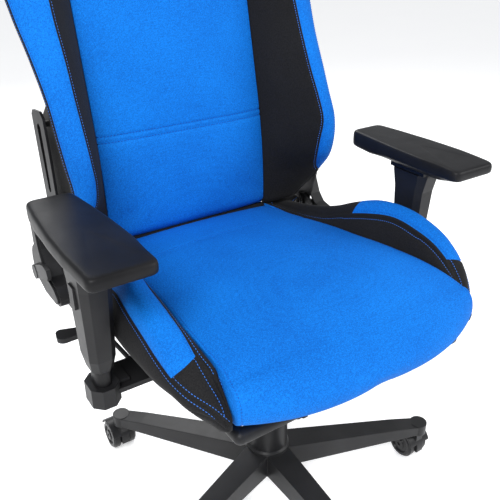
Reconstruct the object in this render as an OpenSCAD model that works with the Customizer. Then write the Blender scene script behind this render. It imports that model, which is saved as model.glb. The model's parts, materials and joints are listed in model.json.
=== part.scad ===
// Racing-style gaming chair on a five-legged base.
// Millimetres. +Z is up, the sitter faces -Y, and the origin is on the floor
// on the gas spring's axis. "left" and "right" are the sitter's own sides.

/* [Base] */
// Distance from the gas spring's axis to each caster's stem
base_reach = 322; // [300:1:330]
// Diameter of the base's hub
hub_d = 80; // [74:1:90]
// Height of the hub's top above the floor
hub_top = 130; // [126:1:134]

/* [Casters] */
// Diameter of a caster's wheel
wheel_d = 60; // [54:1:62]
// Width of one wheel of a twin caster
wheel_w = 17; // [14:0.5:18]
// Distance that the axle trails behind the stem
trail = 20; // [16:0.5:22]

/* [Gas spring] */
// Diameter of the fixed outer tube
column_d = 50; // [48:0.5:50]
// Diameter of the sliding cylinder
cylinder_d = 28; // [26:0.5:29]
// Travel of the gas spring
lift_travel = 90; // [60:1:95]

/* [Seat] */
// Height of the seat's front edge above the floor
seat_front_z = 509; // [506:1:512]
// Half width of the seat cushion at its front
seat_front_half = 212; // [208:1:214]
// Half width of the seat cushion at its rear
seat_rear_half = 171; // [166:1:174]
// Height of the underside of the seat's foam
foam_z = 425; // [425:0.5:427]

/* [Armrests] */
// Distance from the middle of the chair to the middle of an armrest's post
arm_x = 306; // [304:1:310]
// Height of the top of an armrest's pad
pad_top = 655; // [653:1:660]
// Length of an armrest's pad
pad_length = 265; // [255:1:270]

/* [Backrest] */
// Half width of the backrest's centre panel
panel_half = 168; // [160:1:168]
// Height of the top of the backrest above the floor
back_top = 1290; // [1270:5:1300]
// Lean of the upper backrest from the vertical, in degrees
rake = 12.5; // [12:0.1:13]

/* [Hidden] */
$fn = 48;

fit = 0.05;              // running clearance of a pin in its bore
gap = 0.4;               // clearance between parts that pass each other
caster_count = 5;
wheel_z = wheel_d / 2;
web = 8.3;               // half thickness of a caster hood's middle web
axle_r = 3.95;
stem_r = 4.95;
leg_end_z = 68;          // underside of a leg's end
column_r = column_d / 2;
cylinder_r = cylinder_d / 2;
column_z = 70;           // bottom of the outer tube
column_top = 300;
rod_r = 5;
mech_z = 318;            // underside of the mechanism
spring_top = 352;
tilt_y = -55;
tilt_z = 352;
rocker_x = -24;
plate_z = 385;           // top of the mechanism's seat plate
frame_z = 411;           // centre line of the seat frame's tubes
frame_x = 200;
frame_r = 11;
bar_z = 392;             // underside of an armrest's steel bar
bar_t = 8;
bar_y = 4;
bar_w = 64;
post_y = -10;            // centre of an armrest's post
sleeve_z = 440;
sleeve_top = 612;
knob_y = -82;
pivot_y = 268;           // the backrest's pivot
pivot_z = 464;
plate_x = 264;           // inner face of the lower recliner plates
bracket_x = 268.4;       // inner face of the backrest's brackets
cover_x = 273.2;
panel_z = 482;           // bottom of the backrest's centre panel
lumbar_r = 925;          // radius of the backrest's lower curve
lumbar_z = 500;
lumbar_y = 260;
neck_z = 1010;
tube_x = 210;            // side tubes of the backrest's frame
tube_r = 10;

black = [0.11, 0.11, 0.12];
steel = [0.55, 0.56, 0.58];
blue = [0.07, 0.35, 0.85];

// ---- helpers ----------------------------------------------------------

// Points of an arc about a centre, from one angle to another
function arc(c, r, a0, a1, n = 6) =
    [for (i = [0:n]) c + r * [cos(a0 + (a1 - a0) * i / n), sin(a0 + (a1 - a0) * i / n)]];

// A number read from rows of [key, value] by straight lines between them
function along(rows, key) =
    key <= rows[0][0] ? rows[0][1] :
    let (i = [for (k = [1:len(rows) - 1]) if (rows[k][0] >= key) k][0])
    i == undef ? rows[len(rows) - 1][1] :
    let (a = rows[i - 1], b = rows[i]) a[1] + (b[1] - a[1]) * (key - a[0]) / (b[0] - a[0]);

// A round bar between two points
module bar_between(p, q, r) {
    d = q - p;
    translate(p)
        rotate([0, acos(d[2] / norm(d)), atan2(d[1], d[0])])
            cylinder(r = r, h = norm(d));
}

// A ring of points round the start of a bar that runs along d
function first_ring(p, d, r, sides) =
    let (u = cross(d, abs(d[2]) > 0.8 * norm(d) ? [0, 1, 0] : [0, 0, 1]), v = cross(d, u))
    [for (i = [0:sides - 1]) let (a = 360 / sides * (i + 0.5))
        p + r * (cos(a) * u / norm(u) - sin(a) * v / norm(v))];

// The rings of a bent bar, mitred halfway at each elbow
function bar_rings(points, ring, i = 1) =
    let (d = points[i] - points[i - 1], last = i == len(points) - 1,
         e = last ? d : points[i + 1] - points[i],
         cut = d / norm(d) + e / norm(e),
         here = [for (q = ring) q + d * ((points[i] - q) * cut) / (d * cut)])
    last ? [ring, here] : concat([ring], bar_rings(points, here, i + 1));

// A bent round bar through a list of points
module bent_bar(points, r, sides = 16) {
    loft(bar_rings(points, first_ring(points[0], points[1] - points[0], r, sides)));
}

// A closed solid through a list of rings with the same number of points
module loft(rings) {
    n = len(rings[0]);
    m = len(rings);
    sides = [for (i = [0:m - 2]) for (j = [0:n - 1]) each
        [[i * n + j, i * n + (j + 1) % n, (i + 1) * n + j],
         [i * n + (j + 1) % n, (i + 1) * n + (j + 1) % n, (i + 1) * n + j]]];
    polyhedron(
        points = [for (ring = rings) each ring],
        faces = concat(sides, [[for (j = [n - 1:-1:0]) j]],
                       [[for (j = [0:n - 1]) (m - 1) * n + j]]));
}

// An outline in Y and Z, extruded along X from x0 to x1
module side_plate(x0, x1) {
    translate([x0, 0, 0]) rotate([90, 0, 90]) linear_extrude(x1 - x0) children();
}

// A drawing for the left side, shown on the left or mirrored to the right
module on_side(right) {
    mirror([right ? 1 : 0, 0, 0]) children();
}

// ---- base and casters ---------------------------------------------------

module at_legs() {
    for (k = [0:caster_count - 1]) rotate([0, 0, -90 + 360 / caster_count * k]) children();
}

function stem_place(n) =
    let (a = -90 + 360 / caster_count * (n - 1)) [base_reach * cos(a), base_reach * sin(a), 0];

module leg() {
    inner = hub_d / 2 - 8;
    end = base_reach + 6;
    intersection() {
        rotate([90, 0, 0]) linear_extrude(60, center = true)
            polygon([[inner, 74], [end, leg_end_z + 2], [end, 88], [end - 60, 97],
                     [inner + 60, 116], [inner, 122]]);
        linear_extrude(140)
            polygon([[inner, -24], [end, -15], [end, 15], [inner, 24]]);
    }
}

module base_star() {
    color(black) difference() {
        union() {
            translate([0, 0, 72]) cylinder(d = hub_d, h = hub_top - 76);
            translate([0, 0, hub_top - 4])
                cylinder(r1 = hub_d / 2, r2 = hub_d / 2 - 4, h = 4, $fn = 64);
            at_legs() {
                leg();
                translate([base_reach, 0, leg_end_z]) cylinder(r = 17, h = 24);
            }
        }
        translate([0, 0, 60]) cylinder(r = column_r, h = 100);
        at_legs() translate([base_reach, 0, leg_end_z - 1]) cylinder(r = 5.5, h = 23);
    }
}

module caster_stems() {
    color(steel) at_legs() translate([base_reach, 0, 0]) {
        translate([0, 0, 44]) cylinder(r = stem_r, h = 30);
        translate([0, 0, 66.8]) cylinder(r = 8, h = 1.2);
        translate([0, 0, 68]) cylinder(r = 5.5, h = 21.5);
    }
}

module caster_hood(n) {
    axis_at = [0, trail, wheel_z];
    fender_r = wheel_z + 4.5;
    width = 2 * (web + 0.5 + wheel_w);
    translate(stem_place(n)) color(black) {
        difference() {
            union() {
                translate(axis_at) rotate([0, 90, 0]) cylinder(r = 12, h = 2 * web, center = true);
                intersection() {
                    translate(axis_at) rotate([0, 90, 0])
                        cylinder(r = fender_r, h = 2 * web, center = true);
                    translate([-web, -50, wheel_z - 8]) cube([2 * web, 120, 60]);
                }
                translate([-web, -9, 40]) cube([2 * web, 18, 26.4]);
                intersection() {
                    translate(axis_at) rotate([0, 90, 0]) difference() {
                        cylinder(r = fender_r, h = width, center = true);
                        cylinder(r = wheel_z + 2, h = width + 2, center = true);
                    }
                    translate([-40, -50, wheel_z + 12]) cube([80, 140, 60]);
                }
            }
            translate(axis_at) rotate([0, 90, 0])
                cylinder(r = axle_r + fit, h = 60, center = true);
            translate([0, 0, 43]) cylinder(r = stem_r + fit, h = 40);
        }
        translate(axis_at) rotate([0, 90, 0])
            cylinder(r = axle_r, h = width - 4, center = true);
    }
}

module caster_wheel(n, side) {
    inner = web + 0.5;
    outer = inner + wheel_w;
    translate(stem_place(n) + [0, trail, wheel_z])
        rotate([0, side * 90, 0]) color(black)
            rotate_extrude($fn = 72)
                polygon([[axle_r + fit, inner], [wheel_z - 2, inner], [wheel_z, inner + 2],
                         [wheel_z, outer - 5], [wheel_z - 4, outer - 1],
                         [wheel_z - 9, outer - 1], [wheel_z - 11, outer - 4],
                         [12, outer - 3], [10, outer], [axle_r + fit, outer]]);
}

// ---- gas spring and its cover -------------------------------------------

module column_tube() {
    color(black) translate([0, 0, column_z]) difference() {
        cylinder(r = column_r, h = column_top - column_z);
        translate([0, 0, -1]) cylinder(r = rod_r + 0.5, h = 20);
        translate([0, 0, 6]) cylinder(r = column_r - 2, h = 144);
        translate([0, 0, 6]) cylinder(r = cylinder_r + fit, h = 300);
    }
}

module thrust_bearing() {
    color(steel) translate([0, 0, column_z + 6]) difference() {
        cylinder(r = 16, h = 10);
        translate([0, 0, -1]) cylinder(r = rod_r + fit, h = 12);
        translate([0, 0, 5]) rotate_extrude() translate([16, 0]) circle(r = 2, $fn = 16);
    }
}

module piston_rod() {
    color(steel) {
        translate([0, 0, 66]) cylinder(r = rod_r, h = 236);
        translate([0, 0, 66]) cylinder(r = 8, h = 3.7);
        translate([0, 0, column_z + 16]) cylinder(r = 9, h = 4);
        translate([0, 0, 300]) cylinder(r = 11, h = 12);
    }
}

module gas_spring() {
    color(steel) difference() {
        translate([0, 0, 96]) cylinder(r = cylinder_r, h = spring_top - 96);
        translate([0, 0, 95]) cylinder(r = rod_r + fit, h = 12);
        translate([0, 0, 104]) cylinder(r = 11 + fit, h = 232);
        translate([0, 0, 335]) cylinder(r = 2.5 + fit, h = 20);
    }
}

module valve_pin() {
    color(steel) translate([0, 0, 340]) cylinder(r = 2.5, h = 17.5);
}

module shroud_ring(z, h, r) {
    color(black) translate([0, 0, z]) difference() {
        cylinder(r = r, h = h);
        translate([0, 0, -1]) cylinder(r = r - 2.4, h = h + 2);
    }
}

module shroud_lower() {
    shroud_ring(hub_top, 118, 36);
}

module shroud_middle() {
    shroud_ring(hub_top + 22, 122, 32.6);
}

module shroud_upper() {
    shroud_ring(mech_z - 122, 122, 29.2);
}

// ---- mechanism under the seat -------------------------------------------

module mech_housing() {
    color(black) difference() {
        union() {
            difference() {
                side_plate(-75, 75)
                    polygon([[-100, mech_z], [75, mech_z], [75, 338], [-42, 368],
                             [-95, 368], [-100, 360]]);
                side_plate(-71, 71)
                    polygon([[-96, mech_z + 4], [71, mech_z + 4], [71, 400], [-96, 400]]);
                translate([-90, -12, 346]) cube([40, 24, 30]);
            }
            translate([0, 0, mech_z]) cylinder(r = 22, h = 30);
            for (s = [-1, 1]) translate([rocker_x - 8, s * 15.5 - 1.5, mech_z])
                cube([16, 3, 48]);
        }
        translate([0, 0, mech_z - 1]) cylinder(r = cylinder_r, h = 40);
        translate([0, tilt_y, tilt_z]) rotate([0, 90, 0]) cylinder(r = 6, h = 200, center = true);
        translate([rocker_x, 0, 362]) rotate([90, 0, 0])
            cylinder(r = 3 + fit, h = 60, center = true);
        translate([-7, knob_y - 14, mech_z - 1]) cube([14, 22, 10]);
    }
}

module tilt_pin() {
    color(steel) translate([0, tilt_y, tilt_z]) rotate([0, 90, 0])
        cylinder(r = 6, h = 168, center = true);
}

module lever_rocker() {
    color(steel) difference() {
        union() {
            translate([rocker_x - 9, -13.6, 356]) cube([37, 27.2, 11.5]);
            translate([rocker_x, 0, 362]) rotate([90, 0, 0])
                cylinder(r = 3, h = 34, center = true);
        }
        translate([rocker_x - 20, 0, 362]) rotate([0, 90, 0]) cylinder(r = 4 + fit, h = 30);
        translate([-10, -20, 350]) cube([30, 40, 8]);
    }
}

module lift_lever() {
    color(black) {
        bar_between([rocker_x + 9, 0, 362], [-90, 0, 362], 4);
        bent_bar([[-88, 0, 362], [-102, 2, 360], [-150, 18, 347], [-218, 56, 348],
                  [-236, 128, 374], [-266, 162, 382.5]], 4);
        lever_grip();
    }
}

// The lever's flat grip
module lever_grip() {
    translate([0, 0, 378]) linear_extrude(9) polygon(concat(
        arc([-304, 168], 12, 270, 180), arc([-304, 178], 10, 180, 90), arc([-262, 166], 8, 90, -90)));
}

module mech_plate() {
    color(black) difference() {
        union() {
            translate([-82, -105, plate_z - 4]) cube([164, 215, 4]);
            for (s = [-1, 1]) translate([s * 79.5 - 1.5, -76, 338]) cube([3, 44, 46]);
            translate([0, knob_y, plate_z - 14]) cylinder(r = 9, h = 12);
        }
        translate([0, tilt_y, tilt_z]) rotate([0, 90, 0])
            cylinder(r = 6 + fit, h = 200, center = true);
        at_mech_bolts() translate([0, 0, plate_z - 6]) cylinder(r = 4.3, h = 8);
        translate([0, knob_y, plate_z - 15]) cylinder(r = 5, h = 9);
    }
}

module tension_knob() {
    color(black) {
        translate([0, knob_y, 270]) cylinder(r = 5 - fit, h = 108);
        translate([0, knob_y, 262]) difference() {
            cylinder(r = 26, h = 26);
            for (k = [0:9]) rotate([0, 0, 36 * k]) translate([28, 0, -1]) cylinder(r = 4, h = 40);
        }
    }
}

module tension_spring() {
    color(steel) translate([0, knob_y, 288.2]) difference() {
        cylinder(r = 17, h = 29.4);
        translate([0, 0, -1]) cylinder(r = 11, h = 40);
        for (k = [0:3]) translate([0, 0, 5.5 + 6.4 * k])
            rotate_extrude() translate([18.5, 0]) circle(r = 2.6, $fn = 16);
    }
}

module at_mech_bolts() {
    for (x = [-60, 60], y = [-75, 85]) translate([x, y, 0]) children();
}

module at_arm_bolts() {
    for (x = [-172, -142, 142, 172]) translate([x, bar_y, 0]) children();
}

module seat_bolts() {
    color(steel) {
        at_mech_bolts() {
            translate([0, 0, plate_z - 9]) cylinder(r = 6.5, h = 5, $fn = 6);
            translate([0, 0, plate_z - 9]) cylinder(r = 4, h = 22);
        }
        at_arm_bolts() {
            translate([0, 0, bar_z - 5]) cylinder(r = 6.5, h = 5, $fn = 6);
            translate([0, 0, bar_z - 5]) cylinder(r = 4, h = 22);
        }
    }
}

// ---- seat -----------------------------------------------------------------

// The seat frame's round tubes, at a given radius
module seat_tubes(r) {
    for (s = [-1, 1])
        bar_between([s * frame_x, -216, frame_z], [s * frame_x, 240, frame_z], r);
    for (y = [-216, 240]) {
        bar_between([-frame_x, y, frame_z], [frame_x, y, frame_z], r);
        for (s = [-1, 1]) translate([s * frame_x, y, frame_z]) sphere(r = r);
    }
}

module seat_frame() {
    color(black) difference() {
        union() {
            seat_tubes(frame_r);
            for (y = [-75, 85])
                translate([-frame_x, y - 15, plate_z]) cube([2 * frame_x, 30, 18]);
            for (s = [-1, 1]) translate([s * 161 - 39, bar_y - 24, bar_z + bar_t])
                cube([78, 48, 4]);
        }
        seat_tubes(frame_r - 2);
        for (y = [-75, 85])
            translate([12 - frame_x, y - 12.5, plate_z + 2.5]) cube([2 * frame_x - 24, 25, 13]);
        for (s = [-1, 1]) translate([s * frame_x, -140, frame_z - 20]) cylinder(r = 3, h = 12);
        at_mech_bolts() translate([0, 0, plate_z - 1]) cylinder(r = 4.3, h = 20);
        at_arm_bolts() translate([0, 0, bar_z]) cylinder(r = 4.3, h = 20);
    }
}

module seat_straps() {
    color(black) for (y = [-180:75:195])
        translate([-frame_x, y - 22, frame_z + frame_r]) cube([2 * frame_x, 44, 3]);
}

// Half width of the seat cushion, and the height of its top, along Y
function seat_half(y) =
    along([[-236, seat_front_half + 3], [-190, seat_front_half], [258, seat_rear_half]], y);
function seat_top(y) =
    seat_front_z + along([[-290, -42], [-282, -24], [-262, -8], [-235, 0], [-190, 4], [-90, 7],
                          [10, 2], [100, -7], [180, -17], [245, -26], [258, -32]], y);

module seat_cushion() {
    stations = [-290, -282, -262, -235, -190, -90, 10, 100, 180, 245, 258];
    nose = [[200, -249], [163, -259], [115, -271], [60, -280], [0, -285],
            [-60, -280], [-115, -271], [-163, -259], [-200, -249]];
    color(blue) intersection() {
        side_plate(-240, 240)
            polygon(concat([for (y = stations) [y, seat_top(y)]],
                           [[258, foam_z], [-235, foam_z], [-270, foam_z + 12]]));
        translate([0, 0, foam_z - 10]) linear_extrude(120)
            polygon(concat(
                [for (y = [258, -190, -236]) [seat_half(y), y]], nose,
                [for (y = [-236, -190, 258]) [-seat_half(y), y]]));
    }
}

// Rows of a seat bolster: place along Y, its ridge's distance from the middle
// and height, then the distance and height of its outer lower edge
seat_ridge = [
    [258, 204, 474, 246, 462], [180, 214, 492, 256, 468], [100, 222, 514, 266, 474],
    [60, 226, 534, 272, 477], [10, 238, 550, 278, 480], [-40, 243, 560, 281, 482],
    [-90, 246, 561, 281, 484], [-140, 245, 553, 277, 481], [-173, 244, 524, 268, 476],
    [-190, 241, 504, 261, 470], [-214, 231, 477, 244, 460], [-228, 223, 458, 231, 449]];

module seat_bolster() {
    color(black) loft([for (r = seat_ridge)
        let (y = r[0], w = seat_half(y) + gap, top = min(seat_top(y), r[2] - 3))
        [[w, y, foam_z + 1], [w, y, top], [r[1], y, r[2]],
         [r[1] + 0.75 * (r[3] - r[1]), y, r[2] - 0.3 * (r[2] - r[4])],
         [r[3], y, r[4] + 6], [r[3] - 4, y, r[4]], [w + 10, y, foam_z + 1]]]);
}

// ---- armrests ---------------------------------------------------------------

// An octagonal outline of a given width and depth
module octagon(w, d, cut) {
    polygon([[w / 2, d / 2 - cut], [w / 2 - cut, d / 2], [cut - w / 2, d / 2],
             [-w / 2, d / 2 - cut], [-w / 2, cut - d / 2], [cut - w / 2, -d / 2],
             [w / 2 - cut, -d / 2], [w / 2, cut - d / 2]]);
}

// The oval section of an armrest's steel post
module post_prism(z, h, extra = 0) {
    translate([arm_x, post_y, z]) {
        for (s = [-1, 1]) translate([0, s * 6, 0]) cylinder(r = 12 + extra, h = h);
        translate([-12 - extra, -6, 0]) cube([24 + 2 * extra, 12, h]);
    }
}

module arm_bar() {
    color(steel) difference() {
        union() {
            translate([122, bar_y - bar_w / 2, bar_z]) cube([arm_x - 122, bar_w, bar_t]);
            post_prism(385, 173);
        }
        at_arm_bolts() translate([0, 0, bar_z - 1]) cylinder(r = 4.3, h = 12);
    }
}

module arm_collar() {
    color(black) difference() {
        union() {
            translate([arm_x, post_y, 380]) linear_extrude(32) octagon(44, 54, 13);
            translate([arm_x - 40, bar_y - 22, bar_z - 6]) cube([26, 44, 20]);
        }
        post_prism(385, 40);
        translate([100, bar_y - bar_w / 2, bar_z]) cube([arm_x - 100, bar_w, bar_t]);
    }
}

module arm_collars() {
    for (right = [false, true]) on_side(right) arm_collar();
}

// One level of an armrest's sleeve
module sleeve_level(z, w, d, cut, h = 1) {
    translate([arm_x, post_y, z]) linear_extrude(h) octagon(w, d, cut);
}

module arm_sleeve() {
    color(black) difference() {
        union() {
            hull() {
                sleeve_level(sleeve_z, 32, 42, 9);
                sleeve_level(sleeve_z + 22, 39, 53, 9);
            }
            hull() {
                sleeve_level(sleeve_z + 22, 39, 53, 9);
                sleeve_level(sleeve_top - 34, 46, 66, 10);
            }
            hull() {
                sleeve_level(sleeve_top - 34, 46, 66, 10);
                sleeve_level(sleeve_top - 4, 50, 80, 12, 4);
            }
        }
        post_prism(sleeve_z - 1, 147, fit);
        translate([arm_x, post_y, sleeve_top - 14]) cylinder(r = 9 + fit, h = 20);
        translate([arm_x + 16, post_y - 9, sleeve_top - 66]) cube([20, 18, 34]);
    }
}

module arm_button() {
    color(black) translate([arm_x + 20, post_y - 8.7, sleeve_top - 65.7]) cube([6, 17.4, 33.4]);
}

module arm_slide() {
    color(black) translate([arm_x, post_y, sleeve_top]) {
        translate([-23, -39, 0.3]) cube([46, 78, 7.7]);
        translate([0, 0, -13.5]) cylinder(r = 9, h = 15);
        translate([-12, -44, 7]) cube([24, 88, 9]);
    }
}

// An armrest pad's outline, inset from its full size
module pad_outline(inset) {
    front = -140 + inset;
    rear = front + pad_length - 2 * inset;
    out = 349 - inset;
    in = 263 + inset;
    polygon(concat(
        arc([out - 9, front + 11], 9, -80, 0), [[out + 3, -60], [out + 2, 0], [out - 3, 70]],
        arc([out - 18, rear - 10], 10, 0, 85), arc([in + 18, rear - 11], 11, 95, 180),
        [[in + 1, 60], [in - 4, 5], [in - 7, -60], [in - 5, -100]],
        arc([in + 8, front + 15], 10, 180, 260)));
}

module arm_pad() {
    color(black) difference() {
        hull() {
            translate([0, 0, pad_top - 33]) linear_extrude(1) pad_outline(14);
            translate([0, 0, pad_top - 20]) linear_extrude(15) pad_outline(0);
            translate([0, 0, pad_top - 2]) linear_extrude(2) pad_outline(3);
        }
        translate([arm_x - 12.3, post_y - 82, pad_top - 42]) cube([24.6, 164, 19.5]);
    }
}

// ---- recliner ---------------------------------------------------------------

module recliner_plates() {
    color(steel) for (right = [false, true]) on_side(right) difference() {
        union() {
            side_plate(plate_x, plate_x + 4) {
                polygon([[200, 397], [262, 397], [294, 440], [294, 470], [250, 486],
                         [226, 470]]);
            }
            translate([188, 200, 397]) cube([plate_x - 186, 52, 3]);
        }
        translate([200, pivot_y, pivot_z]) rotate([0, 90, 0]) cylinder(r = 6 + fit, h = 200);
    }
}

module recliner_springs() {
    color(steel) for (right = [false, true]) on_side(right)
        translate([plate_x - 5, pivot_y, pivot_z]) rotate([0, 90, 0]) difference() {
            cylinder(r = 19, h = 5);
            translate([0, 0, -1]) cylinder(r = 9, h = 10);
            rotate_extrude() translate([14, 0]) square([2, 3]);
        }
}

module cover_outline(inset) {
    offset(delta = -inset) polygon(concat(
        arc([262, 474], 45, 62, -50), arc([246, 452], 26, -60, -90), arc([196, 446], 18, -90, -200),
        [[196, 464], [222, 470], [238, 486], [250, 512], [256, 548]],
        arc([272, 550], 16, 170, 40)));
}

module recliner_covers() {
    color(black) for (right = [false, true]) on_side(right) difference() {
        union() {
            side_plate(cover_x, 297) cover_outline(0);
            side_plate(296, 301) cover_outline(5);
        }
        side_plate(cover_x - 1, 294) cover_outline(4);
        translate([250, pivot_y, pivot_z]) rotate([0, 90, 0]) cylinder(r = 8, h = 60);
    }
}

module recliner_rod() {
    color(steel) translate([-307, pivot_y, pivot_z]) rotate([0, 90, 0]) cylinder(r = 6, h = 589);
}

module recline_lever() {
    color(black) difference() {
        union() {
            translate([-310, pivot_y, pivot_z]) rotate([0, 90, 0]) cylinder(r = 13, h = 8.4);
            side_plate(-309, -302)
                polygon([[266, 451.5], [216, 474], [197, 479], [190, 488], [195, 499],
                         [212, 501], [230, 495], [273, 475]]);
        }
        translate([-307, pivot_y, pivot_z]) rotate([0, 90, 0]) cylinder(r = 6, h = 40);
    }
}

module back_brackets() {
    color(black) for (right = [false, true]) on_side(right) difference() {
        side_plate(bracket_x, bracket_x + 4)
            polygon(concat(arc([pivot_y, pivot_z], 26, -130, 10),
                           [[276, 520], [256, 600], [264, 680], [269, 736], [262, 744],
                            [226, 748], [214, 740], [207, 680], [203, 620], [224, 520]]));
        side_plate(bracket_x - 1, bracket_x + 5)
            polygon([[224, 620], [230, 616], [236, 620], [238, 640], [246, 700], [248, 722],
                     [240, 728], [232, 722], [228, 680]]);
        translate([200, pivot_y, pivot_z]) rotate([0, 90, 0]) cylinder(r = 6 + fit, h = 200);
    }
}

// ---- backrest -----------------------------------------------------------------

// Y of the centre panel's front face: a vertical foot, a round lumbar curve,
// a straight upper part at the rake, and a more upright head
function lumbar(z) = lumbar_y + lumbar_r - sqrt(pow(lumbar_r, 2) - pow(max(z - lumbar_z, 0), 2));
bend_z = lumbar_z + lumbar_r * sin(rake);
function back_y(z) =
    z < bend_z ? lumbar(z) :
    z < neck_z ? lumbar(bend_z) + (z - bend_z) * tan(rake) :
    lumbar(bend_z) + (neck_z - bend_z) * tan(rake) + (z - neck_z) * 0.1;

foam_t = 24;             // foam of the centre panel
back_t = 56;             // whole depth behind the centre panel's face
cross_y = 37;            // depth of the frame's cross tubes behind that face

// The backrest's steel frame, drawn thicker by a clearance to cut its channels
module back_tubes(extra) {
    r = tube_r + extra;
    for (s = [-1, 1]) {
        bent_bar([[s * tube_x, 252, 506 - extra], [s * tube_x, 272, 740],
                  [s * tube_x, 354, 990], [s * 128, 392, 1110], [s * 112, 400, 1220 + extra]], r);
        for (z = [600, 722])
            bent_bar([[s * tube_x, 252 + 20 * (z - 506) / 234, z],
                      [s * 240, z == 600 ? 238 : 248, z],
                      [s * bracket_x, z == 600 ? 238 : 248, z]], 5 + extra);
    }
    for (z = [530, 900])
        bent_bar([[-tube_x, along([[530, 254], [900, 324.5]], z), z],
                  [-186, back_y(z) + cross_y, z], [186, back_y(z) + cross_y, z],
                  [tube_x, along([[530, 254], [900, 324.5]], z), z]], 8 + extra);
    bar_between([-116, 399, 1212], [116, 399, 1212], 8 + extra);
}

module back_frame() {
    color(black) difference() {
        back_tubes(0);
        back_tubes(-1.8);
        for (s = [-1, 1]) translate([s * tube_x, 252, 500]) cylinder(r = 4, h = 14);
    }
}

module harness_slots() {
    for (s = [-1, 1]) translate([0, 300, 0]) rotate([-90, 0, 0]) linear_extrude(180)
        polygon([[s * 44, -1036], [s * 98, -1044], [s * 88, -1084], [s * 40, -1076]]);
}

module back_cushion() {
    levels = [panel_z, 520, 560, 600, 640, 680, 720, 800, 900, neck_z, 1120, 1200,
              back_top - 30, back_top];
    color(blue) difference() {
        intersection() {
            side_plate(-200, 200)
                polygon(concat([for (z = levels) [back_y(z) + (z == back_top ? 12 : 0), z]],
                               [[back_y(back_top) + back_t - 8, back_top],
                                [back_y(1250) + back_t, 1250],
                                [back_y(neck_z) + back_t, neck_z + 4],
                                [back_y(neck_z) + foam_t, neck_z + 4]],
                               [for (k = [9:-1:0]) [back_y(levels[k]) + foam_t, levels[k]]]));
            translate([0, 600, 0]) rotate([90, 0, 0]) linear_extrude(600)
                polygon(concat(
                    arc([panel_half - 36, panel_z + 36], 36, -90, 0),
                    [[panel_half, 1040], [158, 1080], [150, 1120], [157, 1190]],
                    arc([87, back_top - 66], 66, 8, 85),
                    arc([-87, back_top - 66], 66, 95, 172),
                    [[-157, 1190], [-150, 1120], [-158, 1080], [-panel_half, 1040]],
                    arc([36 - panel_half, panel_z + 36], 36, 180, 270)));
        }
        harness_slots();
        back_tubes(1.5);
    }
}

module back_cover() {
    levels = [506, 560, 620, 680, 720, 860, neck_z, 1284];
    sides = [[188, 506], [196, 560], [198, 640], [186, 760], [184, 860], [192, 930], [192, 1000],
             [172, 1040], [156, 1080], [148, 1120], [155, 1190]];
    color(black) difference() {
        intersection() {
            side_plate(-210, 210)
                polygon(concat([for (z = levels) [back_y(z) + back_t, z]],
                               [for (k = [7:-1:0]) [back_y(levels[k]) + back_t + 5, levels[k]]]));
            translate([0, 600, 0]) rotate([90, 0, 0]) linear_extrude(600) polygon(concat(
                sides, arc([89, 1220], 64, 8, 90), arc([-89, 1220], 64, 90, 172),
                [for (k = [len(sides) - 1:-1:0]) [-sides[k][0], sides[k][1]]]));
        }
        harness_slots();
    }
}

// Rows of a backrest bolster: height, distance of its ridge from the middle
// and Y of the ridge, distance of its outer edge, and Y of the outer edge
back_ridge = [
    [506, 200, 240, 232, 246], [535, 212, 210, 242, 222], [560, 217, 187, 248, 200],
    [600, 221, 163, 256, 176], [635, 222, 154, 262, 166], [675, 225, 152, 265, 164],
    [715, 225, 168, 266, 178], [755, 226, 190, 267, 202], [820, 228, 222, 272, 240],
    [880, 230, 250, 280, 272], [940, 226, 272, 284, 296], [990, 212, 292, 270, 318],
    [1025, 198, 312, 232, 334], [1045, 184, 330, 200, 346]];

// Distance of a bolster's rear corner from the middle: wide beside the bracket
function bolster_rear(z) =
    along([[506, 225], [560, 240], [600, 250], [690, 250], [780, 196], [1045, 176]], z);

module back_bolster() {
    color(black) difference() {
        loft([for (r = back_ridge)
            let (z = r[0], w = panel_half + gap, front = min(back_y(z), r[2] + 24))
            [[w, back_y(z) + back_t - 2, z], [w, max(front, r[2] + 12), z],
             [r[1], r[2], z], [r[3] - 4, r[4] - 3, z], [r[3], r[4] + 8, z],
             [r[3] - 6, r[4] + 32, z],
             [min(bolster_rear(z), r[3] - 10), back_y(z) + back_t - 4, z]]]);
        back_tubes(1.5);
    }
}

base_star();
caster_stems();
column_tube();
thrust_bearing();
shroud_lower();
shroud_middle();
shroud_upper();
piston_rod();
gas_spring();
valve_pin();
mech_housing();
tilt_pin();
lever_rocker();
lift_lever();
mech_plate();
tension_knob();
tension_spring();
seat_frame();
seat_straps();
seat_bolts();
seat_cushion();
on_side(false) seat_bolster();  // seat_bolster_left
on_side(true) seat_bolster();  // seat_bolster_right
on_side(false) arm_bar();  // arm_bar_left
on_side(true) arm_bar();  // arm_bar_right
arm_collars();
on_side(false) arm_sleeve();  // arm_sleeve_left
on_side(true) arm_sleeve();  // arm_sleeve_right
on_side(false) arm_button();  // arm_button_left
on_side(true) arm_button();  // arm_button_right
on_side(false) arm_slide();  // arm_slide_left
on_side(true) arm_slide();  // arm_slide_right
on_side(false) arm_pad();  // arm_pad_left
on_side(true) arm_pad();  // arm_pad_right
recliner_plates();
recliner_springs();
recliner_covers();
recliner_rod();
recline_lever();
back_brackets();
back_frame();
back_cover();
back_cushion();
on_side(false) back_bolster();  // back_bolster_left
on_side(true) back_bolster();  // back_bolster_right
for (n = [1:caster_count]) {
    caster_hood(n);
    caster_wheel(n, 1);
    caster_wheel(n, -1);
}
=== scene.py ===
"""A racing-style gaming chair: fabric, foam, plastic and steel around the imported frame."""
import json
import math
import bpy
import numpy as np
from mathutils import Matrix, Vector
from mathutils.bvhtree import BVHTree


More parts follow.
